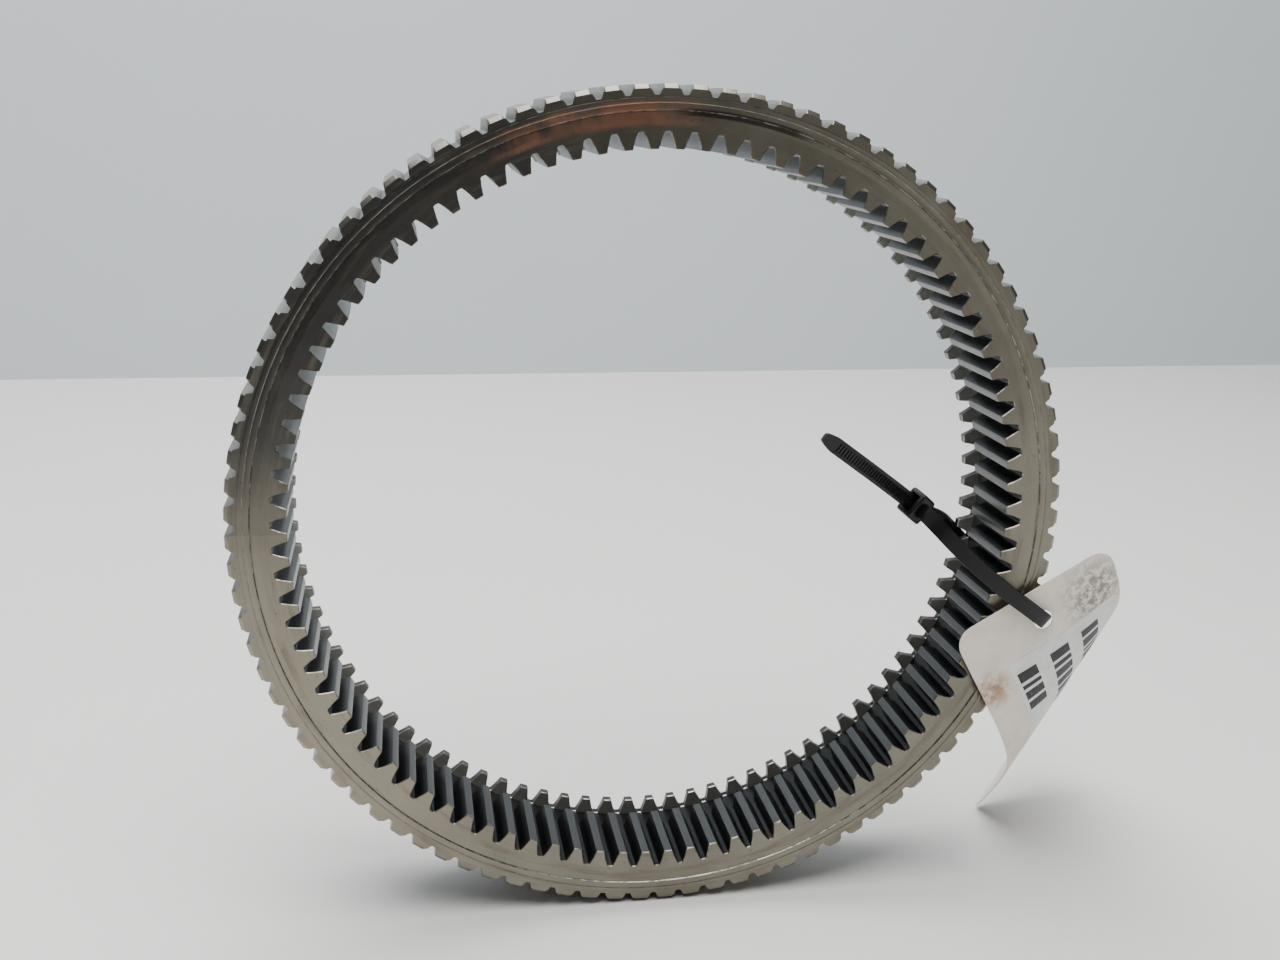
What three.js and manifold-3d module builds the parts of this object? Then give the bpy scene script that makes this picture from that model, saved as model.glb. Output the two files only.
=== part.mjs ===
// Planetary ring gear (annulus) with an identification tag tied round its rim.
//
// The ring is one machined steel piece: straight internal teeth for the planet gears,
// with a wide relief groove cut through them near the back, and stub spline teeth
// outside, whose ends are cut back a little from both faces.
// A nylon cable tie is looped round the rim and carries a card tag with a label.
//
// Units: millimetres. Origin: ring centre, on the axis and half way along the width.
// +Y: ring axis, from the front face to the back face. +Z: up, with the ring on its rim.
import * as THREE from "three";
import { mergeVertices } from "three/addons/utils/BufferGeometryUtils.js";
import Module from "manifold-3d";

const wasm = await Module();
wasm.setup();

// ---- driving dimensions: ring gear ----
const faceWidth = 36;
const outerToothCount = 95;
const outerModule = 2.5;
const innerToothCount = 94;
const innerModule = 2.25;
const faceRadius = 116.6;
const splineSetback = 0.36;
const innerGapOffsetDeg = 0.49;
const grooveFront = 7.2;
const grooveBack = 15.4;
const grooveRadius = 107.95;

// ---- driving dimensions: cable tie ----
const strapWidth = 4.8;
const strapThickness = 1.3;
const rimCrossRadius = 122.9;
const rimCrossDeg = -16.04;
const loopDeg = 139.6;
const headWidth = 8.4;
const headLength = 6.2;
const headDepth = 6.4;
const slotWidth = 5.4;
const slotDepth = 3.8;
const gap = 0.3;

// ---- driving dimensions: tag ----
const tagWidth = 54;
const tagLength = 108;
const cardThickness = 0.4;
const tagCornerRadius = 6;
const tagHoleRadius = 3.1;
const tagHoleInset = 10.5;
const tagHoleY = -20.1;
const tagHoleAlong = 1.6;
const tagEdgeDeg = 29.6;
const tagBendDeg = 59.7;
const labelThickness = 0.2;
const labelWidth = 41;
const labelLength = 70;
const labelTop = 18;

// ---- materials ----
const steel = new THREE.MeshStandardMaterial({ color: 0x8d8982, roughness: 0.38, metalness: 0.9 });
const nylon = new THREE.MeshStandardMaterial({ color: 0x15161a, roughness: 0.45, metalness: 0 });
const card = new THREE.MeshStandardMaterial({ color: 0xd9cfc4, roughness: 0.75, metalness: 0 });
const paper = new THREE.MeshStandardMaterial({ color: 0xd3d9d6, roughness: 0.55, metalness: 0 });

const radians = THREE.MathUtils.degToRad;

function toManifold(geometry) {
  const bare = geometry.clone();
  bare.deleteAttribute("normal");
  bare.deleteAttribute("uv");
  const merged = mergeVertices(bare, 1e-4);
  return new wasm.Manifold(new wasm.Mesh({
    numProp: 3,
    vertProperties: new Float32Array(merged.attributes.position.array),
    triVerts: new Uint32Array(merged.index.array),
  }));
}

function fromManifold(solid) {
  const mesh = solid.getMesh();
  const geometry = new THREE.BufferGeometry();
  geometry.setAttribute("position", new THREE.BufferAttribute(mesh.vertProperties, 3));
  geometry.setIndex(new THREE.BufferAttribute(mesh.triVerts, 1));
  geometry.computeVertexNormals();
  return geometry;
}

// ---- ring gear ----

// Points of one toothed circle: each profile entry is a radius and a place within one
// pitch, counted in pitches from the middle of the gap.
function toothedCircle(count, gapDeg, profile) {
  const points = [];
  for (let tooth = 0; tooth < count; tooth += 1) {
    for (const [radius, place] of profile) {
      const angle = radians(gapDeg) + (2 * Math.PI * (tooth + place)) / count;
      points.push(new THREE.Vector2(radius * Math.cos(angle), radius * Math.sin(angle)));
    }
  }
  return points;
}

// The shape is drawn with X across and Y up, and stands as X across and Z up.
function standingSlab(shape, width) {
  const geometry = new THREE.ExtrudeGeometry(shape, {
    depth: width,
    bevelEnabled: false,
    curveSegments: 95,
  });
  geometry.rotateX(Math.PI / 2);
  geometry.translate(0, width / 2, 0);
  return geometry;
}

function ringGear() {
  const tip = (outerModule * (outerToothCount + 1)) / 2;
  const root = tip - 1.16 * outerModule;
  const boreTip = (innerModule * (innerToothCount - 2.27)) / 2;
  const boreRoot = boreTip + 2 * innerModule;
  const outerProfile = [[root, -0.09], [root, 0.09], [tip, 0.275], [tip, 0.725]];
  const boreProfile = [
    [boreTip, -0.33],
    [boreRoot - 0.6, -0.13],
    [boreRoot, -0.06],
    [boreRoot, 0.06],
    [boreRoot - 0.6, 0.13],
    [boreTip, 0.33],
  ];
  const bore = toothedCircle(innerToothCount, -90 + innerGapOffsetDeg, boreProfile);
  const toothed = new THREE.Shape(toothedCircle(outerToothCount, -90, outerProfile));
  toothed.holes.push(new THREE.Path(bore));
  const faces = new THREE.Shape();
  faces.absarc(0, 0, faceRadius, 0, 2 * Math.PI, false);
  faces.holes.push(new THREE.Path(bore));
  const spline = toManifold(standingSlab(toothed, faceWidth - 2 * splineSetback));
  const body = spline.add(toManifold(standingSlab(faces, faceWidth)));
  const segments = 2 * innerToothCount;
  const cutter = new THREE.CylinderGeometry(
    grooveRadius,
    grooveRadius,
    grooveBack - grooveFront,
    segments,
  );
  cutter.translate(0, (grooveBack + grooveFront) / 2, 0);
  return fromManifold(body.subtract(toManifold(cutter)));
}

// ---- cable tie ----

// The loop lies in a plane that holds the ring's axis. In it, a place is given as
// (s, y, w): s from the rim towards the head, y along the ring's axis, w sideways.
const rimPoint = new THREE.Vector3(
  rimCrossRadius * Math.cos(radians(rimCrossDeg)),
  0,
  rimCrossRadius * Math.sin(radians(rimCrossDeg)),
);
const loopAlong = new THREE.Vector3(Math.cos(radians(loopDeg)), 0, Math.sin(radians(loopDeg)));
const loopSide = new THREE.Vector3(-loopAlong.z, 0, loopAlong.x);

function inLoop(s, y, w) {
  const point = rimPoint.clone();
  point.addScaledVector(loopAlong, s);
  point.addScaledVector(loopSide, w);
  point.y += y;
  return point;
}

// The strap's middle line: from the head down the front face, through the tag's hole,
// over the rim, up the back face, through the bore to the head, and on to the free end.
const strapRoute = [
  [52.2, -14.55, -0.4],
  [51.0, -17.5, -0.3],
  [47.6, -20.1, 0.1],
  [40, -21.6, 0.8],
  [30, -22.6, 1.3],
  [18, -23.2, 1.1],
  [11, -23.3, 0.6],
  [4.8, -22.6, 0.2],
  [1.7, -21.5, 0],
  [0.65, -19.4, 0],
  [0.65, -16, 0],
  [0.65, 0, 0],
  [0.65, 15.5, -0.2],
  [1.7, 18.7, -0.5],
  [5, 19.7, -0.9],
  [12, 19.7, -1.8],
  [20, 19.8, -2.8],
  [25.6, 19.3, -3.3],
  [29, 16.6, -3.4],
  [33.5, 10.4, -3.2],
  [39.5, 3, -2.5],
  [46, -4.6, -1.4],
  [50.8, -8.95, -0.8],
  [54, -10.25, -0.5],
  [57.2, -11.5, -0.3],
  [70, -15.2, 0.5],
  [82, -18.2, 1.4],
  [93.6, -20.4, 2.3],
];
const headPlace = [54, -10.25, -0.5];

// Slot direction and depth direction of the head: the strap's free end leaves along
// the first, and the neck of the loop leaves along the second.
const slotAxis = new THREE.Vector3();
slotAxis.addScaledVector(loopAlong, 3.2);
slotAxis.y = -1.28;
slotAxis.normalize();
const depthAxis = new THREE.Vector3().crossVectors(loopSide, slotAxis).normalize();
if (depthAxis.y > 0) {
  depthAxis.negate();
}
const strapOffset = slotDepth / 2 - gap - strapThickness / 2;

// A flat band of rectangular section swept along a curve; its width stays sideways.
function sweptBand(curve, steps, widthAt, thickness) {
  const positions = [];
  for (let i = 0; i <= steps; i += 1) {
    const t = i / steps;
    const tangent = curve.getTangentAt(t);
    const side = loopSide.clone().addScaledVector(tangent, -loopSide.dot(tangent)).normalize();
    const up = new THREE.Vector3().crossVectors(tangent, side);
    const middle = curve.getPointAt(t);
    const half = widthAt(t) / 2;
    for (const [a, b] of [[-1, -1], [1, -1], [1, 1], [-1, 1]]) {
      const corner = middle.clone().addScaledVector(side, a * half);
      corner.addScaledVector(up, (b * thickness) / 2);
      positions.push(corner.x, corner.y, corner.z);
    }
  }
  const index = [0, 3, 2, 0, 2, 1];
  for (let i = 0; i < steps; i += 1) {
    for (let k = 0; k < 4; k += 1) {
      const a = 4 * i + k;
      const b = 4 * i + ((k + 1) % 4);
      index.push(a, b, b + 4, a, b + 4, a + 4);
    }
  }
  const last = 4 * steps;
  index.push(last, last + 1, last + 2, last, last + 2, last + 3);
  const geometry = new THREE.BufferGeometry();
  geometry.setAttribute("position", new THREE.Float32BufferAttribute(positions, 3));
  geometry.setIndex(index);
  geometry.computeVertexNormals();
  return geometry;
}

function strap() {
  const points = strapRoute.map(([s, y, w]) => inLoop(s, y, w));
  const curve = new THREE.CatmullRomCurve3(points, false, "centripetal");
  const tipTaper = 0.025;
  const widthAt = (t) => (t > 1 - tipTaper ? strapWidth * (0.45 + (0.55 * (1 - t)) / tipTaper) : strapWidth);
  return sweptBand(curve, 120, widthAt, strapThickness);
}

// A box in the head's own directions: along the slot, sideways, and in depth.
function headBox(along, sideways, depth, offsetAlong, offsetDepth) {
  const geometry = new THREE.BoxGeometry(along, sideways, depth);
  geometry.translate(offsetAlong, 0, offsetDepth);
  return geometry;
}

function placeInHead(geometry) {
  const basis = new THREE.Matrix4().makeBasis(slotAxis, loopSide, depthAxis);
  if (basis.determinant() < 0) {
    basis.makeBasis(slotAxis, loopSide.clone().negate(), depthAxis);
  }
  const centre = inLoop(...headPlace).addScaledVector(depthAxis, strapOffset);
  geometry.applyMatrix4(basis.setPosition(centre));
  return geometry;
}

function head() {
  const body = toManifold(headBox(headLength, headWidth, headDepth, 0, 0));
  const slot = toManifold(headBox(headLength + 2, slotWidth, slotDepth, 0, 0));
  return placeInHead(fromManifold(body.subtract(slot)));
}

// The tongue that holds the strap's teeth: thick at its free end, thin at its hinge.
function pawl() {
  const outline = new THREE.Shape();
  outline.moveTo(-2.2, 1.05);
  outline.lineTo(-2.2, 0.35);
  outline.lineTo(1.6, 0.05);
  outline.lineTo(2.0, 0.9);
  outline.lineTo(1.2, 1.1);
  outline.closePath();
  const width = 3.6;
  const geometry = new THREE.ExtrudeGeometry(outline, { depth: width, bevelEnabled: false });
  geometry.translate(0, 0, -width / 2);
  geometry.rotateX(Math.PI / 2);
  return placeInHead(geometry);
}

// ---- tag ----

// The tag hangs by its hole and bends back past the rim. Flat places on it are (e, c):
// c runs along the bend's axis and e across it, both from the middle of the hole.
const tagAcross = new THREE.Vector3(Math.sin(radians(tagBendDeg)), 0, -Math.cos(radians(tagBendDeg)));
const tagAlong = new THREE.Vector3(Math.cos(radians(tagBendDeg)), 0, Math.sin(radians(tagBendDeg)));
const tagHole = inLoop(tagHoleAlong, tagHoleY, 0);

// How steeply the card leans back, in degrees, at a distance e from the hole.
const leanKnots = [
  [-24, 4], [-10, 3], [4, 3.6], [18, 28], [30, 52.4], [42, 57.8], [54, 59.3], [66, 61.2], [80, 52.5], [110, 40.5],
];

function leanAt(e) {
  const next = leanKnots.findIndex(([place]) => place >= e);
  if (next <= 0) {
    return leanKnots[next === 0 ? 0 : leanKnots.length - 1][1];
  }
  const [e0, lean0] = leanKnots[next - 1];
  const [e1, lean1] = leanKnots[next];
  return lean0 + ((lean1 - lean0) * (e - e0)) / (e1 - e0);
}

// Place and lean of the card's middle surface at e, found by walking from the hole.
function bendAt(e) {
  const steps = Math.max(1, Math.ceil(Math.abs(e)));
  const step = e / steps;
  let across = 0;
  let back = 0;
  for (let i = 0; i < steps; i += 1) {
    const lean = radians(leanAt((i + 0.5) * step));
    across += step * Math.cos(lean);
    back += step * Math.sin(lean);
  }
  return { across, back, lean: radians(leanAt(e)) };
}

// Outline of a rectangle on the flat tag, as (e, c) points. u runs along the tag's
// short edge from its middle, v down its length from that edge.
function tagOutline(uMin, uMax, vMin, vMax, topRadius) {
  const turn = radians(tagBendDeg - tagEdgeDeg);
  const corners = [];
  const arcSteps = 6;
  for (let i = 0; i <= arcSteps; i += 1) {
    const angle = (Math.PI / 2) * (i / arcSteps);
    corners.push([uMin + topRadius * (1 - Math.cos(angle)), vMin + topRadius * (1 - Math.sin(angle))]);
  }
  for (let i = arcSteps; i >= 0; i -= 1) {
    const angle = (Math.PI / 2) * (i / arcSteps);
    corners.push([uMax - topRadius * (1 - Math.cos(angle)), vMin + topRadius * (1 - Math.sin(angle))]);
  }
  corners.push([uMax, vMax], [uMin, vMax]);
  return corners.map(([u, v]) => {
    const down = v - tagHoleInset;
    return [u * Math.sin(turn) + down * Math.cos(turn), u * Math.cos(turn) - down * Math.sin(turn)];
  });
}

// The two places where a line of constant e crosses a convex outline.
function chord(outline, e) {
  const hits = [];
  outline.forEach(([e0, c0], i) => {
    const [e1, c1] = outline[(i + 1) % outline.length];
    if ((e0 - e) * (e1 - e) <= 0 && e0 !== e1) {
      hits.push(c0 + ((c1 - c0) * (e - e0)) / (e1 - e0));
    }
  });
  return [Math.min(...hits), Math.max(...hits)];
}

// A bent sheet over a flat outline. lift moves it off the card's middle surface,
// towards the printed side.
function bentSheet(outline, thickness, lift, stations) {
  const places = outline.map(([e]) => e);
  const low = Math.min(...places) + 0.15;
  const high = Math.max(...places) - 0.15;
  const positions = [];
  for (let i = 0; i <= stations; i += 1) {
    const e = low + ((high - low) * i) / stations;
    const [cLow, cHigh] = chord(outline, e);
    const { across, back, lean } = bendAt(e);
    for (const [c, face] of [[cLow, 1], [cHigh, 1], [cHigh, -1], [cLow, -1]]) {
      const off = lift + (face * thickness) / 2;
      const point = tagHole.clone().addScaledVector(tagAlong, c);
      point.addScaledVector(tagAcross, across + off * Math.sin(lean));
      point.y += back - off * Math.cos(lean);
      positions.push(point.x, point.y, point.z);
    }
  }
  const index = [0, 1, 2, 0, 2, 3];
  for (let i = 0; i < stations; i += 1) {
    for (let k = 0; k < 4; k += 1) {
      const a = 4 * i + k;
      const b = 4 * i + ((k + 1) % 4);
      index.push(a, b + 4, b, a, a + 4, b + 4);
    }
  }
  const last = 4 * stations;
  index.push(last, last + 2, last + 1, last, last + 3, last + 2);
  const geometry = new THREE.BufferGeometry();
  geometry.setAttribute("position", new THREE.Float32BufferAttribute(positions, 3));
  geometry.setIndex(index);
  geometry.computeVertexNormals();
  return geometry;
}

function tagCard() {
  const outline = tagOutline(-tagWidth / 2, tagWidth / 2, 0, tagLength, tagCornerRadius);
  const sheet = toManifold(bentSheet(outline, cardThickness, 0, 72));
  const punch = new THREE.CylinderGeometry(tagHoleRadius, tagHoleRadius, 12, 20);
  punch.translate(tagHole.x, tagHole.y, tagHole.z);
  return fromManifold(sheet.subtract(toManifold(punch)));
}

function tagLabel() {
  const right = tagWidth / 2 - 2;
  const outline = tagOutline(right - labelWidth, right, labelTop, labelTop + labelLength, 1);
  const lift = cardThickness / 2 + gap + labelThickness / 2;
  return bentSheet(outline, labelThickness, lift, 48);
}

// ---- scene graph ----

function part(name, geometry, material) {
  const mesh = new THREE.Mesh(geometry, material);
  mesh.name = name;
  return mesh;
}

const cableTie = new THREE.Group();
cableTie.add(part("cable_tie_strap", strap(), nylon));
cableTie.add(part("cable_tie_head", head(), nylon));
cableTie.add(part("cable_tie_pawl", pawl(), nylon));

const tag = new THREE.Group();
tag.add(part("tag_card", tagCard(), card));
tag.add(part("tag_label", tagLabel(), paper));

const group = new THREE.Group();
group.add(part("ring_gear", ringGear(), steel));
group.add(cableTie);
group.add(tag);

export default group;
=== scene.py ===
"""Looks of a planetary ring gear with a tag tied to its rim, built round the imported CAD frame.

Blender works in metres. The shape constants below are in millimetres, as in the CAD,
and MM turns them into metres. Y is the ring's axis, with the front face at -Y.
"""
import math

import bmesh
import bpy
from mathutils import Matrix, Vector
from mathutils.geometry import delaunay_2d_cdt


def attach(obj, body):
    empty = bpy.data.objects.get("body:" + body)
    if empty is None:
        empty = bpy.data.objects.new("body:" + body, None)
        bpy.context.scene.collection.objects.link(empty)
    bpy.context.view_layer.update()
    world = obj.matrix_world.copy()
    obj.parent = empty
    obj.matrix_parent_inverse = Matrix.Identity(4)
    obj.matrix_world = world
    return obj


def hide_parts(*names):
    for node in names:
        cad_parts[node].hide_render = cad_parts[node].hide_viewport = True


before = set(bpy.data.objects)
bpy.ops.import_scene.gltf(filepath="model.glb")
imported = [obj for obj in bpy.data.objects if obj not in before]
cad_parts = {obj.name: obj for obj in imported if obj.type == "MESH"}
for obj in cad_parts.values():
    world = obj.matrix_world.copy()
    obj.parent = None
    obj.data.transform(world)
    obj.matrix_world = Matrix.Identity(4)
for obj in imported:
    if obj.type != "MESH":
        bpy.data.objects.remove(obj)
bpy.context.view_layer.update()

MM = 0.001

# ---- edges that bend by more than this stay sharp, in degrees ----
SHARP_DEG = 28
HEAD_SHARP_DEG = 32
SHEET_SHARP_DEG = 40

# ---- ring gear, in mm ----
HALF_WIDTH = 18.0
OUTER_TEETH = 95
OUTER_TIP = 120.0
OUTER_FLANK = [(0.09, 117.1, 0.45), (0.176, 118.5, 8), (0.275, OUTER_TIP, 0.18)]
INNER_TEETH = 94
INNER_FLANK = [(0.105, 107.7, 0.5), (0.222, 105.6, 12), (0.33, 103.2, 0.28)]
INNER_GAP_DEG = -89.51
OUTER_GAP_DEG = -90.0
SPLINE_SETBACK = 0.36
SPLINE_CHAMFER = 1.2
EDGE_BREAK = 0.22
GROOVE = (7.2, 15.4, 107.95)
STITCH_RADII = (109.6, 110.4)

# ---- cable tie, in mm: the same loop as in the CAD, begun inside the head ----
STRAP_WIDTH = 4.8
STRAP_THICKNESS = 1.3
RIM_CROSS = (122.9, -16.04)
LOOP_DEG = 139.6
STRAP_ROUTE = [
    (52.9, -12.6, -0.45), (52.2, -14.55, -0.4), (51.0, -17.5, -0.3), (47.6, -20.1, 0.1),
    (40, -21.6, 0.8), (30, -22.6, 1.3), (18, -23.2, 1.1), (11, -23.3, 0.6), (4.8, -22.6, 0.2),
    (1.7, -21.5, 0), (0.65, -19.4, 0), (0.65, -16, 0), (0.65, 0, 0), (0.65, 15.5, -0.2),
    (1.7, 18.7, -0.5), (5, 19.7, -0.9), (12, 19.7, -1.8), (20, 19.8, -2.8),
    (25.6, 19.3, -3.3), (29, 16.6, -3.4), (33.5, 10.4, -3.2), (39.5, 3, -2.5),
    (46, -4.6, -1.4), (50.8, -8.95, -0.8), (54, -10.25, -0.5), (57.2, -11.5, -0.3),
    (70, -15.2, 0.5), (82, -18.2, 1.4), (93.6, -20.4, 2.3),
]
HEAD_PLACE = (54, -10.25, -0.5)
HEAD_SIZE = (6.2, 8.4, 6.4)
SLOT_SIZE = (5.4, 3.8)
RIB_PITCH = 1.1
RIB_HEIGHT = 0.28
RIB_STEPS = 6
SMOOTH_NECK = 0.07
SMOOTH_TIP = 5
CLEARANCE = 0.3

# ---- tag, in mm ----
TAG_SIZE = (54.0, 108.0)
TAG_HOLE_RADIUS = 3.1
TAG_HOLE_INSET = 10.5
TAG_HOLE_PLACE = (1.6, -20.1, 0)
TAG_EDGE_DEG = 29.6
TAG_BEND_DEG = 59.7
TAG_CORNER = 6.0
LEAN_KNOTS = [
    (-24, 4), (-10, 3), (4, 3.6), (18, 28), (30, 52.4),
    (42, 57.8), (54, 59.3), (66, 61.2), (80, 52.5), (110, 40.5),
]
CARD_THICKNESS = 0.36
LABEL_THICKNESS = 0.09
LABEL_SIZE = (41.0, 70.0)
LABEL_TOP = 18.0
LABEL_MARGIN = 2.0
LABEL_LIFT = 0.06
PRINT_LIFT = 0.14
SHEET_GRID = 1.5
BEND_STEP = 0.5


# ------------------------------------------------------------------ mesh helpers

def new_piece(name, mesh, body, material, replaced=()):
    """Puts a mesh in the scene as a piece of the object, riding on a CAD body."""
    piece = bpy.data.objects.new(name, mesh)
    bpy.context.scene.collection.objects.link(piece)
    mesh.materials.append(material)
    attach(piece, body)
    if replaced:
        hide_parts(*replaced)
    return piece


def mesh_of(name, points, faces):
    """A smooth-shaded mesh from points in mm, with edges over SHARP_DEG kept sharp."""
    mesh = bpy.data.meshes.new(name)
    mesh.from_pydata([tuple(c * MM for c in p) for p in points], [], faces)
    mesh.validate()
    bm = bmesh.new()
    bm.from_mesh(mesh)
    bmesh.ops.recalc_face_normals(bm, faces=bm.faces)
    bm.to_mesh(mesh)
    bm.free()
    mesh.shade_smooth()
    mesh.set_sharp_from_angle(angle=math.radians(SHARP_DEG))
    return mesh


def filleted(corners, steps=3):
    """Rounds the corners of an open polyline. Each corner is (x, y, radius)."""
    points = []
    for i, (x, y, radius) in enumerate(corners):
        here = Vector((x, y))
        if radius == 0 or i in (0, len(corners) - 1):
            points.append(here)
            continue
        before = (Vector(corners[i - 1][:2]) - here).normalized()
        after = (Vector(corners[i + 1][:2]) - here).normalized()
        half = before.angle(after) / 2
        reach = radius / math.tan(half)
        start, end = here + before * reach, here + after * reach
        for k in range(steps + 1):
            t = k / steps
            points.append(start * (1 - t) ** 2 + here * 2 * t * (1 - t) + end * t ** 2)
    return points


# ------------------------------------------------------------------ ring gear

def toothed_circle(count, gap_deg, flank):
    """One toothed contour as (radius, angle) points, from gap to gap round the circle.

    flank runs from the root to the tip as (place in pitches from the gap's middle,
    radius, fillet), and each tooth has it twice, mirrored.
    """
    root, tip = flank[0][1], flank[-1][1]
    pitch = 2 * math.pi * tip / count
    corners = [(0, root, 0)]
    corners += [(place * pitch, radius, fillet) for place, radius, fillet in flank]
    corners += [((1 - place) * pitch, radius, fillet) for place, radius, fillet in reversed(flank)]
    corners += [(pitch, root, 0)]
    profile = filleted(corners)[:-1]
    step = 2 * math.pi / count
    return [
        (p.y, math.radians(gap_deg) + step * (tooth + p.x / pitch))
        for tooth in range(count)
        for p in profile
    ]


def inset(contour, distance, outward):
    """Moves each contour point into the metal, across the contour, by distance."""
    places = [Vector((r * math.cos(a), r * math.sin(a))) for r, a in contour]
    moved = []
    for i, place in enumerate(places):
        along = (places[(i + 1) % len(places)] - places[i - 1]).normalized()
        normal = Vector((along.y, -along.x)) * (1 if outward else -1)
        p = place + normal * distance
        moved.append((p.length, math.atan2(p.y, p.x)))
    return moved


def loop_at(contour, y):
    return [(r * math.cos(a), y, r * math.sin(a)) for r, a in contour]


def circle_like(contour, radius, y):
    """A circle whose points stand at the contour's angles."""
    return [(radius * math.cos(a), y, radius * math.sin(a)) for _, a in contour]


def face_relief(side):
    """(radius, y) of the turned end face, from the flat out to the spline's ends."""
    depth = [
        (110.95, 0), (111.2, 0.015), (112.85, 0.31), (113.05, 0.31), (113.3, 0.03),
        (113.5, 0.0), (114.3, 0.0), (114.45, 0.02), (115.0, 0.09), (115.12, 0.02),
        (115.3, 0.0), (116.3, 0.0), (116.5, 0.06), (116.62, SPLINE_SETBACK),
    ]
    return [(radius, side * (HALF_WIDTH - d)) for radius, d in depth]


def stitch(faces, first, second, angles_first, angles_second):
    """Triangles between two rings of points that have different counts."""
    n, m = len(angles_first), len(angles_second)
    start = angles_first[0]
    turn = 2 * math.pi
    a = [(x - start) % turn for x in angles_first]
    b = [(x - start) % turn for x in angles_second]
    shift = b.index(min(b))
    b = b[shift:] + b[:shift]
    i = j = 0
    while i < n or j < m:
        next_a = a[i + 1] if i + 1 < n else turn
        next_b = b[j + 1] if j + 1 < m else turn + b[0]
        pa, pb = first + i % n, second + (j + shift) % m
        if j >= m or (i < n and next_a <= next_b):
            faces.append((pa, first + (i + 1) % n, pb))
            i += 1
        else:
            faces.append((pa, second + (j + 1 + shift) % m, pb))
            j += 1


def ring_mesh():
    outer = toothed_circle(OUTER_TEETH, OUTER_GAP_DEG, OUTER_FLANK)
    inner = toothed_circle(INNER_TEETH, INNER_GAP_DEG, INNER_FLANK)
    broken = inset(inner, EDGE_BREAK, True)
    clipped = [(min(r, OUTER_TIP - SPLINE_CHAMFER), a) for r, a in outer]
    spline_end = HALF_WIDTH - SPLINE_SETBACK
    groove_front, groove_back, groove_radius = GROOVE
    e = EDGE_BREAK
    bore_loops = [
        circle_like(inner, STITCH_RADII[0], -HALF_WIDTH),
        loop_at(broken, -HALF_WIDTH),
        loop_at(inner, -HALF_WIDTH + e),
        loop_at(inner, groove_front - e),
        loop_at(broken, groove_front),
        circle_like(inner, groove_radius, groove_front),
        circle_like(inner, groove_radius, groove_back),
        loop_at(broken, groove_back),
        loop_at(inner, groove_back + e),
        loop_at(inner, HALF_WIDTH - e),
        loop_at(broken, HALF_WIDTH),
        circle_like(inner, STITCH_RADII[0], HALF_WIDTH),
    ]
    rim_loops = [circle_like(outer, STITCH_RADII[1], HALF_WIDTH)]
    rim_loops += [circle_like(outer, radius, y) for radius, y in face_relief(1)]
    rim_loops += [
        loop_at(clipped, spline_end),
        loop_at(outer, spline_end - SPLINE_CHAMFER),
        loop_at(outer, -spline_end + SPLINE_CHAMFER),
        loop_at(clipped, -spline_end),
    ]
    rim_loops += [circle_like(outer, radius, y) for radius, y in reversed(face_relief(-1))]
    rim_loops += [circle_like(outer, STITCH_RADII[1], -HALF_WIDTH)]

    points, faces = [], []
    starts = {}
    for key, loops in (("bore", bore_loops), ("rim", rim_loops)):
        starts[key] = len(points)
        count = len(loops[0])
        for row, loop in enumerate(loops):
            points.extend(loop)
            if row == 0:
                continue
            low = starts[key] + (row - 1) * count
            for i in range(count):
                j = (i + 1) % count
                faces.append((low + i, low + j, low + count + j, low + count + i))
    inner_angles = [a for _, a in inner]
    outer_angles = [a for _, a in outer]
    last_bore = starts["bore"] + (len(bore_loops) - 1) * len(inner)
    last_rim = starts["rim"] + (len(rim_loops) - 1) * len(outer)
    stitch(faces, last_bore, starts["rim"], inner_angles, outer_angles)
    stitch(faces, starts["bore"], last_rim, inner_angles, outer_angles)
    return mesh_of("ring_gear_fine", points, faces)


# ------------------------------------------------------------------ cable tie

def unit_at(degrees):
    return Vector((math.cos(math.radians(degrees)), 0, math.sin(math.radians(degrees))))


RIM_POINT = unit_at(RIM_CROSS[1]) * RIM_CROSS[0]
LOOP_ALONG = unit_at(LOOP_DEG)
LOOP_SIDE = Vector((-LOOP_ALONG.z, 0, LOOP_ALONG.x))


def in_loop(s, y, w):
    return RIM_POINT + LOOP_ALONG * s + LOOP_SIDE * w + Vector((0, y, 0))


def catmull_rom(points, per_span):
    """Points of a centripetal Catmull-Rom curve through the given points."""
    ends = [points[0] * 2 - points[1]] + points + [points[-1] * 2 - points[-2]]
    curve = []
    for i in range(1, len(ends) - 2):
        p = ends[i - 1:i + 3]
        t = [0.0]
        for a, b in zip(p, p[1:]):
            t.append(t[-1] + max((b - a).length, 1e-6) ** 0.5)
        for k in range(per_span):
            x = t[1] + (t[2] - t[1]) * k / per_span
            a1 = p[0].lerp(p[1], (x - t[0]) / (t[1] - t[0]))
            a2 = p[1].lerp(p[2], (x - t[1]) / (t[2] - t[1]))
            a3 = p[2].lerp(p[3], (x - t[2]) / (t[3] - t[2]))
            b1 = a1.lerp(a2, (x - t[0]) / (t[2] - t[0]))
            b2 = a2.lerp(a3, (x - t[1]) / (t[3] - t[1]))
            curve.append(b1.lerp(b2, (x - t[1]) / (t[2] - t[1])))
    curve.append(points[-1])
    return curve


def even_steps(curve, step):
    """The same curve with points a fixed step apart, and its length."""
    spaced = [curve[0]]
    travelled, target = 0.0, step
    for a, b in zip(curve, curve[1:]):
        length = (b - a).length
        while length > 0 and travelled + length >= target:
            spaced.append(a.lerp(b, (target - travelled) / length))
            target += step
        travelled += length
    return spaced, travelled


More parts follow.
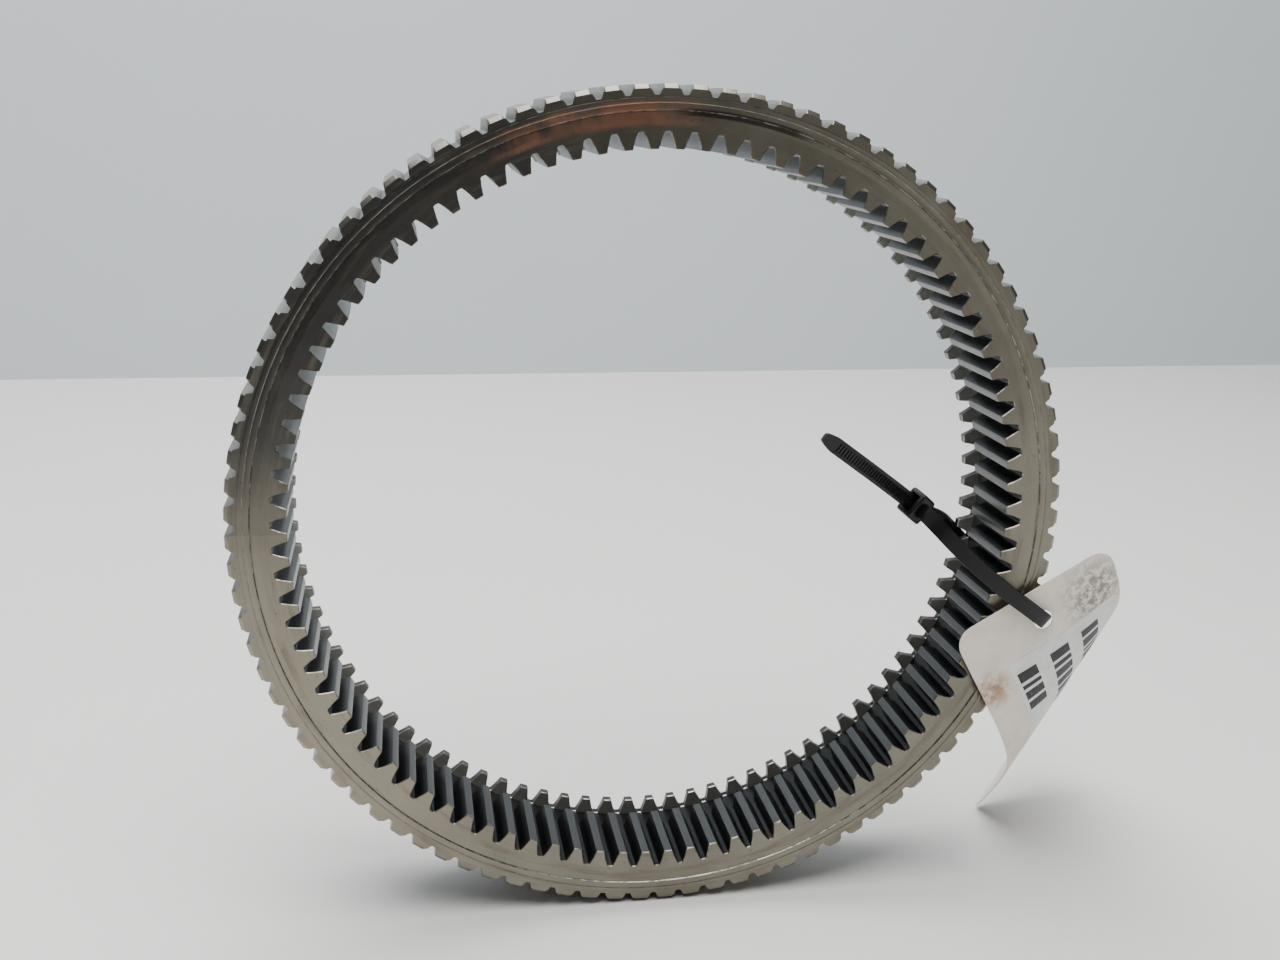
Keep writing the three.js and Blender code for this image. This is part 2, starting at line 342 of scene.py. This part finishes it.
def strap_section(width, rib):
    """Section of the strap: smooth back, two flat borders and a ribbed track."""
    w, t, r = width / 2, STRAP_THICKNESS / 2, 0.22
    track = w * 0.62
    return [
        (-w + r, t), (-w, t - r), (-w, -t + r), (-w + r, -t),
        (w - r, -t), (w, -t + r), (w, t - r), (w - r, t),
        (track, t), (track - 0.15, t - rib), (-track + 0.15, t - rib), (-track, t),
    ]


def strap_mesh():
    route = [in_loop(*place) for place in STRAP_ROUTE]
    curve, length = even_steps(catmull_rom(route, 60), RIB_PITCH / RIB_STEPS)
    points, faces = [], []
    for i, middle in enumerate(curve):
        ahead = curve[min(i + 2, len(curve) - 1)]
        behind = curve[max(i - 2, 0)]
        tangent = (ahead - behind).normalized()
        side = (LOOP_SIDE - tangent * LOOP_SIDE.dot(tangent)).normalized()
        up = tangent.cross(side)
        travelled = i * RIB_PITCH / RIB_STEPS
        to_tip = length - travelled
        width = STRAP_WIDTH * min(1, 0.42 + 0.58 * math.sqrt(max(to_tip, 0) / 4.5))
        smooth = travelled < SMOOTH_NECK * length or to_tip < SMOOTH_TIP
        rib = 0 if smooth else RIB_HEIGHT * (1 - (i % RIB_STEPS) / (RIB_STEPS - 1))
        for a, b in strap_section(width, rib):
            points.append(middle + side * a + up * b)
    count = len(strap_section(STRAP_WIDTH, 0))
    for row in range(len(curve) - 1):
        for k in range(count):
            a, b = row * count + k, row * count + (k + 1) % count
            faces.append((a, b, b + count, a + count))
    last = (len(curve) - 1) * count
    faces.append(tuple(range(count))[::-1])
    faces.append(tuple(range(last, last + count)))
    return mesh_of("cable_tie_strap_fine", points, faces)


def head_matrix():
    """Axes of the tie's head: along the slot, sideways and in depth."""
    slot_axis = (LOOP_ALONG * 3.2 + Vector((0, -1.28, 0))).normalized()
    depth_axis = LOOP_SIDE.cross(slot_axis).normalized()
    if depth_axis.y > 0:
        depth_axis.negate()
    side = depth_axis.cross(slot_axis)
    offset = SLOT_SIZE[1] / 2 - CLEARANCE - STRAP_THICKNESS / 2
    centre = in_loop(*HEAD_PLACE) + depth_axis * offset
    turn = Matrix((slot_axis, side, depth_axis)).transposed().to_4x4()
    return Matrix.Translation(centre) @ turn


def rounded_box(name, size, bevel, segments):
    """A box with rounded edges, in mm, centred on the origin."""
    bm = bmesh.new()
    bmesh.ops.create_cube(bm, size=1)
    bmesh.ops.scale(bm, vec=Vector(size), verts=bm.verts)
    bmesh.ops.bevel(bm, geom=bm.edges, offset=bevel, segments=segments, profile=0.5, affect="EDGES")
    mesh = bpy.data.meshes.new(name)
    bm.to_mesh(mesh)
    bm.free()
    return mesh


def applied_boolean(body, cutter):
    """body minus cutter as a new mesh; both helper objects are removed."""
    host = bpy.data.objects.new("host", body)
    tool = bpy.data.objects.new("tool", cutter)
    for obj in (host, tool):
        bpy.context.scene.collection.objects.link(obj)
    change = host.modifiers.new("cut", "BOOLEAN")
    change.operation = "DIFFERENCE"
    change.solver = "EXACT"
    change.object = tool
    bpy.context.view_layer.update()
    result = bpy.data.meshes.new_from_object(host.evaluated_get(bpy.context.evaluated_depsgraph_get()))
    for obj in (host, tool):
        bpy.data.objects.remove(obj)
    return result


def head_mesh():
    length, width, depth = HEAD_SIZE
    slot = rounded_box("slot", (length + 3, *SLOT_SIZE), 0.35, 2)
    mesh = applied_boolean(rounded_box("head", (length, width, depth), 0.9, 4), slot)
    mesh.transform(Matrix.Scale(MM, 4) @ head_matrix())
    mesh.name = "cable_tie_head_fine"
    mesh.shade_smooth()
    mesh.set_sharp_from_angle(angle=math.radians(HEAD_SHARP_DEG))
    return mesh


# ------------------------------------------------------------------ tag

TAG_ACROSS = Vector((math.sin(math.radians(TAG_BEND_DEG)), 0, -math.cos(math.radians(TAG_BEND_DEG))))
TAG_ALONG = unit_at(TAG_BEND_DEG)
TAG_HOLE = in_loop(*TAG_HOLE_PLACE)


def lean_at(e):
    """How far the card leans back at a distance e from the hole, in radians."""
    knots = LEAN_KNOTS
    if e <= knots[0][0]:
        return math.radians(knots[0][1])
    for (e0, lean0), (e1, lean1) in zip(knots, knots[1:]):
        if e <= e1:
            return math.radians(lean0 + (lean1 - lean0) * (e - e0) / (e1 - e0))
    return math.radians(knots[-1][1])


def bend_table(low, high, step):
    """Where the card's middle surface runs, as (across, back), at every step from the hole."""
    rows = {0: (0.0, 0.0)}
    for sign, end in ((1, high), (-1, low)):
        across = back = 0.0
        for k in range(1, int(abs(end) / step) + 2):
            lean = lean_at(sign * (k - 0.5) * step)
            across += sign * step * math.cos(lean)
            back += sign * step * math.sin(lean)
            rows[sign * k] = (across, back)
    return rows


BEND = bend_table(-40, 130, BEND_STEP)


def on_tag(u, v, lift=0.0):
    """Place of a flat tag point: u along the short edge from its middle, v down from it."""
    turn = math.radians(TAG_BEND_DEG - TAG_EDGE_DEG)
    down = v - TAG_HOLE_INSET
    e = u * math.sin(turn) + down * math.cos(turn)
    c = u * math.cos(turn) - down * math.sin(turn)
    key = math.floor(e / BEND_STEP)
    part = e / BEND_STEP - key
    (x0, y0), (x1, y1) = BEND[key], BEND[key + 1]
    lean = lean_at(e)
    across = x0 + (x1 - x0) * part + lift * math.sin(lean)
    back = y0 + (y1 - y0) * part - lift * math.cos(lean)
    return TAG_HOLE + TAG_ALONG * c + TAG_ACROSS * across + Vector((0, back, 0))


def rounded_rectangle(u0, u1, v0, v1, top, bottom, steps=8):
    """Outline of a rectangle with its own corner radius at the top and the bottom."""
    outline = []
    for cu, cv, radius, start in (
        (u0, v0, top, 180), (u1, v0, top, 270), (u1, v1, bottom, 0), (u0, v1, bottom, 90),
    ):
        inward_u = 1 if cu == u0 else -1
        inward_v = 1 if cv == v0 else -1
        for k in range(steps + 1):
            angle = math.radians(start + 90 * k / steps)
            centre = (cu + inward_u * radius, cv + inward_v * radius)
            outline.append((centre[0] + radius * math.cos(angle), centre[1] + radius * math.sin(angle)))
    return outline


def with_short_sides(ring, longest):
    """The same closed outline, with points added so that no side is longer than longest."""
    filled = []
    for (u0, v0), (u1, v1) in zip(ring, ring[1:] + ring[:1]):
        parts = max(1, math.ceil(math.hypot(u1 - u0, v1 - v0) / longest))
        filled += [(u0 + (u1 - u0) * k / parts, v0 + (v1 - v0) * k / parts) for k in range(parts)]
    return filled


def sheet_mesh(name, outline, holes, thickness, lift, grid):
    """A thin bent sheet with both faces and its edges, with flat (u, v) kept as UVs."""
    outline = with_short_sides(outline, grid)
    flat, edges = [], []
    for ring in [outline] + holes:
        first = len(flat)
        flat.extend(Vector(p) for p in ring)
        edges.extend((first + i, first + (i + 1) % len(ring)) for i in range(len(ring)))
    us, vs = [p[0] for p in outline], [p[1] for p in outline]
    nu = int((max(us) - min(us)) / grid)
    nv = int((max(vs) - min(vs)) / grid)
    for i in range(1, nu):
        for j in range(1, nv):
            u = min(us) + (max(us) - min(us)) * i / nu
            v = min(vs) + (max(vs) - min(vs)) * j / nv
            flat.append(Vector((u, v)))
    verts, _, tris, _, _, _ = delaunay_2d_cdt(flat, edges, [], 1, 1e-4)

    def inside(p, ring):
        odd = False
        for (x0, y0), (x1, y1) in zip(ring, ring[1:] + ring[:1]):
            if (y0 > p.y) != (y1 > p.y) and p.x < x0 + (p.y - y0) * (x1 - x0) / (y1 - y0):
                odd = not odd
        return odd

    kept = []
    for tri in tris:
        middle = sum((verts[i] for i in tri), Vector((0, 0))) / len(tri)
        if inside(middle, outline) and not any(inside(middle, hole) for hole in holes):
            kept.append(tuple(tri))
    count = len(verts)
    points = [on_tag(p.x, p.y, lift + thickness / 2) for p in verts]
    points += [on_tag(p.x, p.y, lift - thickness / 2) for p in verts]
    faces = list(kept) + [tuple(i + count for i in reversed(tri)) for tri in kept]
    border = {}
    for tri in kept:
        for a, b in zip(tri, tri[1:] + tri[:1]):
            border[(a, b)] = border.get((a, b), 0) + 1
    for a, b in border:
        if (b, a) not in border:
            faces.append((b, a, a + count, b + count))
    mesh = bpy.data.meshes.new(name)
    mesh.from_pydata([tuple(c * MM for c in p) for p in points], [], faces)
    layer = mesh.uv_layers.new(name="flat")
    for loop in mesh.loops:
        p = verts[loop.vertex_index % count]
        layer.data[loop.index].uv = (p.x / 100, p.y / 100)
    bm = bmesh.new()
    bm.from_mesh(mesh)
    loose = [v for v in bm.verts if not v.link_faces]
    bmesh.ops.delete(bm, geom=loose, context="VERTS")
    bmesh.ops.recalc_face_normals(bm, faces=bm.faces)
    bm.to_mesh(mesh)
    bm.free()
    mesh.shade_smooth()
    mesh.set_sharp_from_angle(angle=math.radians(SHEET_SHARP_DEG))
    return mesh


def hole_ring(radius, steps=28):
    angles = [2 * math.pi * k / steps for k in range(steps)]
    return [(radius * math.cos(a), TAG_HOLE_INSET + radius * math.sin(a)) for a in angles]


def card_mesh():
    half = TAG_SIZE[0] / 2
    outline = rounded_rectangle(-half, half, 0, TAG_SIZE[1], TAG_CORNER, 1.5)
    holes = [hole_ring(TAG_HOLE_RADIUS)]
    return sheet_mesh("tag_card_fine", outline, holes, CARD_THICKNESS, 0, SHEET_GRID)


def label_span():
    right = TAG_SIZE[0] / 2 - LABEL_MARGIN
    return right - LABEL_SIZE[0], right, LABEL_TOP, LABEL_TOP + LABEL_SIZE[1]


def label_mesh():
    outline = rounded_rectangle(*label_span(), 1.2, 1.2)
    lift = CARD_THICKNESS / 2 + LABEL_LIFT
    return sheet_mesh("tag_label_fine", outline, [], LABEL_THICKNESS, lift, SHEET_GRID)


def print_mesh():
    """Rows of plain ink blocks down the label, in place of its printed lines."""
    u0, _, v0, _ = label_span()
    rows = [
        # (place across the label, block height, block lengths)
        (4.8, 6.8, (3.6, 1.5, 3.2, 3.4)),
        (16.8, 7.0, (3.6, 2.0, 3.4, 3.4, 3.2, 2.0, 3.4)),
        (29.0, 7.0, (3.0, 3.8, 1.6, 3.4, 3.4)),
    ]
    first_block = 4.5
    space = 1.2
    steps = 6
    lift = CARD_THICKNESS / 2 + PRINT_LIFT
    points, faces = [], []
    for across, height, blocks in rows:
        v = v0 + first_block
        for length in blocks:
            first = len(points)
            for k in range(steps + 1):
                for side in range(steps + 1):
                    u = u0 + across + height * (side / steps - 0.5)
                    points.append(on_tag(u, v + length * k / steps, lift))
            for k in range(steps):
                for side in range(steps):
                    a = first + (steps + 1) * k + side
                    faces.append((a, a + 1, a + steps + 2, a + steps + 1))
            v += length + space
    return mesh_of("tag_print", points, faces)


# ------------------------------------------------------------------ materials

class Shader:
    """A node material under construction. Sockets and plain numbers can be mixed."""

    def __init__(self, name):
        self.material = bpy.data.materials.new(name)
        self.material.use_nodes = True
        self.tree = self.material.node_tree
        self.surface = self.tree.nodes["Principled BSDF"]

    def node(self, kind, **settings):
        made = self.tree.nodes.new(kind)
        for key, value in settings.items():
            setattr(made, key, value)
        return made

    def put(self, socket, value):
        if isinstance(value, bpy.types.NodeSocket):
            self.tree.links.new(value, socket)
        else:
            socket.default_value = value

    def set(self, **inputs):
        for key, value in inputs.items():
            self.put(self.surface.inputs[key.replace("_", " ")], value)

    def math(self, operation, a, b=0.0, c=0.0):
        made = self.node("ShaderNodeMath", operation=operation)
        for socket, value in zip(made.inputs, (a, b, c)):
            self.put(socket, value)
        return made.outputs[0]

    def length(self, a, b):
        """How long the flat vector (a, b) is."""
        return self.math("SQRT", self.math("ADD", self.math("MULTIPLY", a, a), self.math("MULTIPLY", b, b)))

    def step(self, value, low, high):
        """0 below low, 1 above high and smooth between; it falls if low is the larger."""
        made = self.node("ShaderNodeMapRange", interpolation_type="SMOOTHSTEP")
        ends = (low, high, 0.0, 1.0) if low < high else (high, low, 1.0, 0.0)
        for key, number in zip(("From Min", "From Max", "To Min", "To Max"), ends):
            made.inputs[key].default_value = number
        self.put(made.inputs["Value"], value)
        return made.outputs["Result"]

    def band(self, value, low, high, soft):
        return self.math("MULTIPLY", self.step(value, low - soft, low), self.step(value, high + soft, high))

    def vector(self, x, y, z):
        made = self.node("ShaderNodeCombineXYZ")
        for socket, value in zip(made.inputs, (x, y, z)):
            self.put(socket, value)
        return made.outputs[0]

    def split(self, vector):
        made = self.node("ShaderNodeSeparateXYZ")
        self.put(made.inputs[0], vector)
        return made.outputs

    def noise(self, vector, scale, detail=4.0, roughness=0.55):
        made = self.node("ShaderNodeTexNoise")
        self.put(made.inputs["Vector"], vector)
        made.inputs["Scale"].default_value = scale
        made.inputs["Detail"].default_value = detail
        made.inputs["Roughness"].default_value = roughness
        return made.outputs["Fac"]

    def mix(self, factor, a, b):
        """Colour a turning into colour b as factor goes from 0 to 1."""
        made = self.node("ShaderNodeMix", data_type="RGBA")
        for key, value in (("Factor_Float", factor), ("A_Color", a), ("B_Color", b)):
            socket = next(s for s in made.inputs if s.identifier == key)
            self.put(socket, (*value, 1.0) if isinstance(value, tuple) else value)
        return next(s for s in made.outputs if s.identifier == "Result_Color")

    def bump(self, height, distance, strength=1.0):
        made = self.node("ShaderNodeBump")
        made.inputs["Strength"].default_value = strength
        made.inputs["Distance"].default_value = distance
        self.put(made.inputs["Height"], height)
        return made.outputs[0]


def steel():
    """Turned and gear-cut steel: satin faces, tooth gaps and spline roots painted darker as shade, and edge
    breaks painted lighter as highlights.
    """
    s = Shader("gear_steel_worn")
    place = s.node("ShaderNodeTexCoord").outputs["Object"]
    x, y, z = s.split(place)
    radius = s.math("MULTIPLY", s.length(x, z), 1000)
    depth = s.math("MULTIPLY", s.math("ABSOLUTE", y), 1000)
    angle = s.math("ARCTAN2", z, x)
    facing = s.math("ABSOLUTE", s.split(s.node("ShaderNodeNewGeometry").outputs["Normal"])[1])

    cloud = s.noise(place, 28, 6, 0.6)
    fine = s.noise(place, 420, 5, 0.6)
    turned_lines = s.vector(s.math("MULTIPLY", radius, 2.6), s.math("MULTIPLY", angle, 0.6), 0)
    rings = s.noise(turned_lines, 1.0, 6, 0.7)
    cut_lines = s.vector(s.math("MULTIPLY", angle, 160), s.math("MULTIPLY", depth, 0.05), 0)
    streaks = s.noise(cut_lines, 1.0, 4, 0.6)
    wiped_marks = s.vector(s.math("MULTIPLY", angle, 3.5), s.math("MULTIPLY", radius, 0.25), 3)
    smear = s.noise(wiped_marks, 1.0, 5, 0.6)

    # the turned end faces
    face = s.mix(s.step(cloud, 0.35, 0.7), (0.165, 0.153, 0.122), (0.235, 0.22, 0.18))
    face = s.mix(s.math("MULTIPLY", s.step(rings, 0.45, 0.8), 0.4), face, (0.115, 0.108, 0.09))
    # painted dark reflection: the upper-left of the end face is darkened in patches
    painted_dark_reflection = s.math("MULTIPLY", s.band(angle, 1.95, 2.85, 0.3), s.step(smear, 0.3, 0.5))
    face = s.mix(s.math("MULTIPLY", painted_dark_reflection, 0.7), face, (0.06, 0.062, 0.068))
    # painted light: the lower-left of the end face is made paler, as if lit from the floor
    painted_bounce_light = s.band(angle, -2.95, -2.3, 0.35)
    face = s.mix(s.math("MULTIPLY", painted_bounce_light, 0.6), face, (0.31, 0.28, 0.22))
    face = s.mix(s.math("MULTIPLY", s.step(smear, 0.5, 0.7), 0.55), face, (0.13, 0.10, 0.075))
    # painted reflection: a reddish patch on the outer band near the top of the end face
    painted_red_reflection = s.math("MULTIPLY", s.band(angle, 1.62, 1.93, 0.16), s.band(radius, 110.2, 115.0, 1.6))
    painted_red_reflection = s.math("MULTIPLY", painted_red_reflection, s.step(s.noise(place, 90, 5, 0.6), 0.32, 0.6))
    face = s.mix(s.math("MULTIPLY", painted_red_reflection, 0.75), face, (0.50, 0.24, 0.15))
    # painted shade with some grime: a dark line in the turned groove near the top of the end face
    groove_shade_and_grime = s.math("MULTIPLY", s.band(angle, 1.28, 1.5, 0.08), s.band(radius, 112.2, 113.6, 0.5))
    face = s.mix(s.math("MULTIPLY", groove_shade_and_grime, 0.8), face, (0.03, 0.025, 0.02))
    # painted shade: the bottoms of the two turned grooves are darkened all round
    groove = s.math("ADD", s.band(radius, 112.9, 113.15, 0.1), s.band(radius, 114.98, 115.1, 0.08))
    face = s.mix(s.math("MULTIPLY", groove, 0.5), face, (0.07, 0.065, 0.055))
    # painted light: the front-facing ends of the tooth stubs behind the groove are made pale, as if lit
    stub_painted_light = s.math("MULTIPLY", s.band(depth, 15.0, 15.6, 0.2), s.step(radius, 109, 108))
    face = s.mix(s.math("MULTIPLY", stub_painted_light, s.step(y, 0, 0.001)), face, (0.72, 0.73, 0.68))

    # the tooth gaps and flanks between the end faces
    # painted shade: the inner tooth gaps are darker from the tips towards the roots
    gap = s.mix(s.step(radius, 103.6, 106.2), (0.066, 0.070, 0.073), (0.010, 0.011, 0.013))
    gap = s.mix(s.math("MULTIPLY", s.step(streaks, 0.5, 0.75), 0.3), gap, (0.048, 0.052, 0.056))
    rust = s.math("MULTIPLY", s.step(depth, 14, 17.8), s.step(cloud, 0.45, 0.62))
    gap = s.mix(s.math("MULTIPLY", rust, 0.35), gap, (0.11, 0.055, 0.03))
    # painted shade: the outer spline is dark at its roots and lighter towards its tips
    spline = s.mix(s.step(radius, 117.2, 119.6), (0.045, 0.045, 0.042), (0.24, 0.228, 0.20))
    spline = s.mix(s.math("MULTIPLY", s.step(streaks, 0.5, 0.7), 0.3), spline, (0.36, 0.35, 0.32))
    side = s.mix(s.step(radius, 109, 112), gap, spline)

    colour = s.mix(s.step(facing, 0.6, 0.8), side, face)
    # painted highlight: the edge breaks at both ends of the teeth are lightened in patches
    edge_highlight = s.math("MULTIPLY", s.step(depth, 17.5, 17.75), s.step(facing, 0.97, 0.9))
    edge_highlight = s.math("MULTIPLY", edge_highlight, s.step(fine, 0.42, 0.6))
    colour = s.mix(s.math("MULTIPLY", edge_highlight, 0.45), colour, (0.50, 0.48, 0.44))
    speck = s.step(s.noise(place, 900, 2), 0.68, 0.74)
    colour = s.mix(s.math("MULTIPLY", speck, 0.4), colour, (0.05, 0.045, 0.04))

    rough = s.math("MULTIPLY_ADD", cloud, 0.16, 0.24)
    rough = s.math("ADD", rough, s.math("MULTIPLY", s.step(smear, 0.5, 0.75), 0.12))
    turning = s.math("MULTIPLY", rings, s.step(facing, 0.8, 0.95))
    height = s.math("ADD", turning, s.math("MULTIPLY", fine, 0.5))
    s.set(Base_Color=colour, Roughness=rough, Metallic=0.9, Normal=s.bump(height, 0.00006, 0.5))
    return s.material


def nylon():
    """Black moulded nylon with a satin skin and a little dust."""
    s = Shader("black_nylon_moulded")
    place = s.node("ShaderNodeTexCoord").outputs["Object"]
    dust = s.noise(place, 160, 6, 0.65)
    grain = s.noise(place, 2600, 3)
    dusty = s.math("MULTIPLY", s.step(dust, 0.5, 0.75), 0.5)
    colour = s.mix(dusty, (0.004, 0.004, 0.005), (0.012, 0.011, 0.011))
    rough = s.math("MULTIPLY_ADD", dust, 0.22, 0.26)
    skin = s.bump(grain, 0.00002, 0.4)
    s.set(Base_Color=colour, Roughness=rough, Specular_IOR_Level=0.35, Normal=skin)
    return s.material


def flat_place(s):
    """The (u, v) of a tag piece in mm, from the flat layout kept in its UVs."""
    made = s.node("ShaderNodeUVMap", uv_map="flat")
    u, v, _ = s.split(made.outputs[0])
    return s.math("MULTIPLY", u, 100), s.math("MULTIPLY", v, 100)


def spot(s, u, v, centre, reach):
    """1 at the centre of a stain and 0 beyond its reach, in mm."""
    du = s.math("SUBTRACT", u, centre[0])
    dv = s.math("SUBTRACT", v, centre[1])
    return s.step(s.length(du, dv), reach, reach * 0.2)


def card():
    """Cream card with fibres, a brown stain and oily fingermarks."""
    s = Shader("tag_card_stained")
    u, v = flat_place(s)
    flat = s.vector(u, v, 0)
    cloud = s.noise(flat, 0.12, 5, 0.6)
    fibre = s.noise(flat, 6, 5, 0.7)
    colour = s.mix(s.step(cloud, 0.35, 0.7), (0.87, 0.81, 0.73), (0.78, 0.70, 0.61))
    patches = s.step(s.noise(flat, 0.45, 7, 0.75), 0.43, 0.56)
    grime = s.math("MULTIPLY", spot(s, u, v, (18, 12), 15), patches)
    colour = s.mix(s.math("MULTIPLY", grime, 0.75), colour, (0.12, 0.10, 0.09))
    blotches = s.step(s.noise(flat, 0.3, 6, 0.7), 0.3, 0.6)
    brown = s.math("MULTIPLY", spot(s, u, v, (-23.5, 23), 9), blotches)
    colour = s.mix(s.math("MULTIPLY", brown, 0.9), colour, (0.38, 0.21, 0.11))
    rim = s.math("MULTIPLY", spot(s, u, v, (0, TAG_HOLE_INSET), 6), s.step(fibre, 0.4, 0.6))
    colour = s.mix(s.math("MULTIPLY", rim, 0.35), colour, (0.30, 0.26, 0.22))
    rough = s.math("MULTIPLY_ADD", fibre, 0.15, 0.6)
    s.set(Base_Color=colour, Roughness=rough, Normal=s.bump(fibre, 0.00005, 0.35))
    return s.material


def label():
    """Satin white label paper, a little marked."""
    s = Shader("label_paper_satin")
    u, v = flat_place(s)
    flat = s.vector(u, v, 0)
    cloud = s.noise(flat, 0.15, 5, 0.6)
    fibre = s.noise(flat, 9, 4, 0.7)
    colour = s.mix(s.step(cloud, 0.4, 0.75), (0.80, 0.82, 0.81), (0.68, 0.68, 0.65))
    marks = s.step(s.noise(flat, 1.1, 5, 0.7), 0.62, 0.72)
    colour = s.mix(s.math("MULTIPLY", marks, 0.35), colour, (0.30, 0.27, 0.25))
    rough = s.math("MULTIPLY_ADD", fibre, 0.1, 0.38)
    s.set(Base_Color=colour, Roughness=rough, Normal=s.bump(fibre, 0.00003, 0.2))
    return s.material


def ink():
    """Matt black print, thin in places."""
    s = Shader("label_ink")
    place = s.node("ShaderNodeTexCoord").outputs["Object"]
    thin = s.step(s.noise(place, 900, 4), 0.55, 0.8)
    s.set(Base_Color=s.mix(thin, (0.015, 0.015, 0.018), (0.10, 0.10, 0.11)), Roughness=0.5)
    return s.material


def plain(name, colour, roughness):
    s = Shader(name)
    mottle = s.noise(s.node("ShaderNodeTexCoord").outputs["Object"], 9, 5)
    darker = tuple(c * 0.96 for c in colour)
    s.set(Base_Color=s.mix(mottle, colour, darker), Roughness=roughness)
    return s.material


# ------------------------------------------------------------------ the object

black_nylon = nylon()
new_piece("ring_gear_fine", ring_mesh(), "ring", steel(), ["ring_gear"])
new_piece("strap_fine", strap_mesh(), "cable_tie", black_nylon, ["cable_tie_strap"])
new_piece("head_fine", head_mesh(), "cable_tie", black_nylon, ["cable_tie_head"])
new_piece("card_fine", card_mesh(), "tag", card(), ["tag_card"])
new_piece("label_fine", label_mesh(), "tag", label(), ["tag_label"])
new_piece("label_print", print_mesh(), "tag", ink())
pawl_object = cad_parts["cable_tie_pawl"]
pawl_object.data.materials.clear()
pawl_object.data.materials.append(black_nylon)


# ------------------------------------------------------------------ studio

def stage_plane(name, corners, material):
    mesh = bpy.data.meshes.new(name)
    mesh.from_pydata(corners, [], [(0, 1, 2, 3)])
    mesh.materials.append(material)
    plane = bpy.data.objects.new(name, mesh)
    bpy.context.scene.collection.objects.link(plane)


def area_light(name, place, target, size, power, colour):
    data = bpy.data.lights.new(name, "AREA")
    data.shape = "RECTANGLE"
    data.size, data.size_y = size
    data.energy = power
    data.color = colour
    lamp = bpy.data.objects.new(name, data)
    bpy.context.scene.collection.objects.link(lamp)
    lamp.location = place
    lamp.rotation_euler = (Vector(target) - Vector(place)).to_track_quat("-Z", "Y").to_euler()


FLOOR = -OUTER_TIP * MM
FRONT, BACK, REACH, TOP = -0.58, 0.85, 3, 2.2
floor_corners = [(-REACH, FRONT, FLOOR), (REACH, FRONT, FLOOR), (REACH, BACK, FLOOR), (-REACH, BACK, FLOOR)]
stage_plane("floor", floor_corners, plain("floor_pale", (0.80, 0.80, 0.79), 0.45))
wall_corners = [(-REACH, BACK, FLOOR), (REACH, BACK, FLOOR), (REACH, BACK, TOP), (-REACH, BACK, TOP)]
stage_plane("backdrop", wall_corners, plain("backdrop_pale", (0.62, 0.67, 0.70), 0.8))
area_light("overhead", (-0.15, 0.0, 1.3), (0, 0.05, 0), (1.8, 1.2), 50, (1.0, 0.99, 0.97))
area_light("side_bounce", (1.0, -1.15, 0.15), (0.1, 0, 0), (1.1, 0.9), 2.8, (1.0, 0.99, 0.95))
world = bpy.data.worlds.new("room")
world.use_nodes = True
background = world.node_tree.nodes["Background"]
background.inputs["Color"].default_value = (0.34, 0.36, 0.38, 1)
background.inputs["Strength"].default_value = 0.16
bpy.context.scene.world = world

lens = bpy.data.cameras.new("camera")
lens.lens = 39.66
lens.sensor_width = 36
lens.clip_start = 0.01
camera = bpy.data.objects.new("camera", lens)
bpy.context.scene.collection.objects.link(camera)
right = Vector((0.98643, -0.16309, 0.01877))
up = Vector((0.02404, 0.25660, 0.96622))
turn = Matrix((right, up, right.cross(up))).transposed().to_4x4()
camera_place = (-0.070604, -0.393640, 0.114338)
camera.matrix_world = Matrix.Translation(camera_place) @ turn
bpy.context.scene.camera = camera

bpy.context.view_layer.update()
